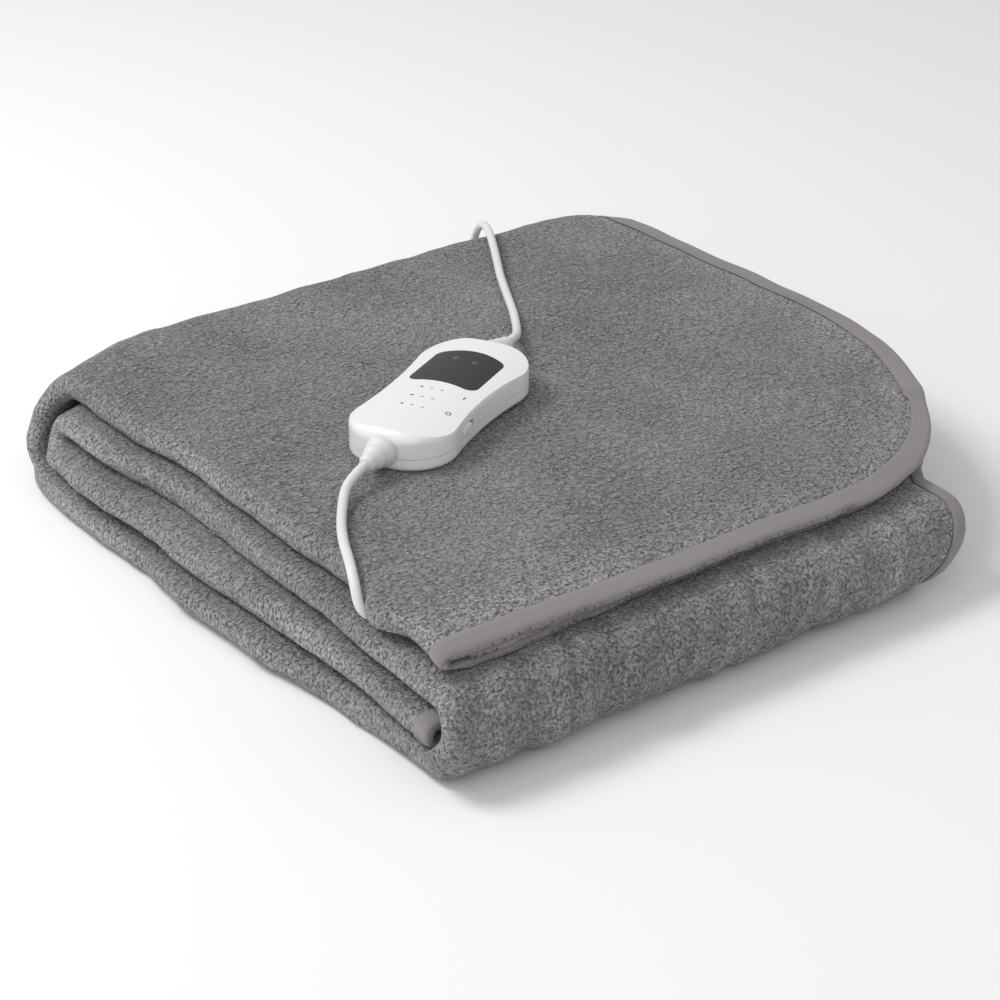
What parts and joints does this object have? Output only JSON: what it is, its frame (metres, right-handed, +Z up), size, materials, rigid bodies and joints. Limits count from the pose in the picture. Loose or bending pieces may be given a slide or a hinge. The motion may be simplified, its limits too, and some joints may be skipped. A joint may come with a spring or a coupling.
{
  "type": "heated throw",
  "caption": "Heated fleece throw folded into a low leaning stack with a bound edge, its hand controller and blanket lead lying on top and its mains lead coiled behind.",
  "frame": {"origin": "under the middle of the folded stack, on the surface that it lies on", "axes": "+X along the front fold towards the bound edge, +Y towards the back fold, +Z up"},
  "size_m": [0.4694, 0.5395, 0.0906],
  "materials": {
    "aluminium": "satin",
    "board": "satin",
    "brass": "satin",
    "dark_plastic": "matte",
    "display": "gloss",
    "fleece": "matte",
    "glass": "gloss",
    "lead": "satin",
    "shell": "gloss",
    "steel": "satin",
    "tape": "satin",
    "white_plastic": "matte",
    "window": "gloss",
    "wire": "satin"
  },
  "bodies": {
    "throw": {"face_fleece": "fleece", "back_fleece": "fleece", "edge_tape": "tape", "blanket_socket": "dark_plastic", "lead_connector": "white_plastic", "contact_pins": "brass", "top_shell": "shell", "bottom_shell": "shell", "display_window": "window", "display_module": "dark_plastic", "display_glass": "display", "circuit_board": "board", "transformer": "dark_plastic", "capacitor": "aluminium", "triac": "dark_plastic", "fuse": "glass", "screws": "steel", "tact_switches": "dark_plastic", "slide_switch": "dark_plastic", "lower_relief": "lead", "upper_relief": "lead", "lower_clamp": "white_plastic", "upper_clamp": "white_plastic", "blanket_lead": "lead", "mains_lead": "lead", "mains_coil": "lead", "coil_tie": "dark_plastic", "mains_tail": "lead", "plug_relief": "lead", "plug_body": "lead", "plug_blades": "brass", "heating_wire": "wire"},
    "power_slider": {"power_slider": "shell", "switch_lever": "dark_plastic"},
    "side_button_1": {"side_button_1": "shell"},
    "side_button_2": {"side_button_2": "shell"},
    "side_button_3": {"side_button_3": "shell"}
  },
  "joints": [
    {"name": "power_slide", "type": "slide", "parent": "throw", "child": "power_slider", "axis": [0.8829, 0.4695, 0], "range_m": [0, 0.006]},
    {"name": "press_button_1", "type": "slide", "parent": "throw", "child": "side_button_1", "axis": [0.4695, -0.8829, 0], "range_m": [0, 0.001], "stiffness_N_per_m": 300, "springref_m": -0.0015},
    {"name": "press_button_2", "type": "slide", "parent": "throw", "child": "side_button_2", "axis": [0.4695, -0.8829, 0], "range_m": [0, 0.001], "stiffness_N_per_m": 300, "springref_m": -0.0015},
    {"name": "press_button_3", "type": "slide", "parent": "throw", "child": "side_button_3", "axis": [0.4695, -0.8829, 0], "range_m": [0, 0.001], "stiffness_N_per_m": 300, "springref_m": -0.0015}
  ]
}
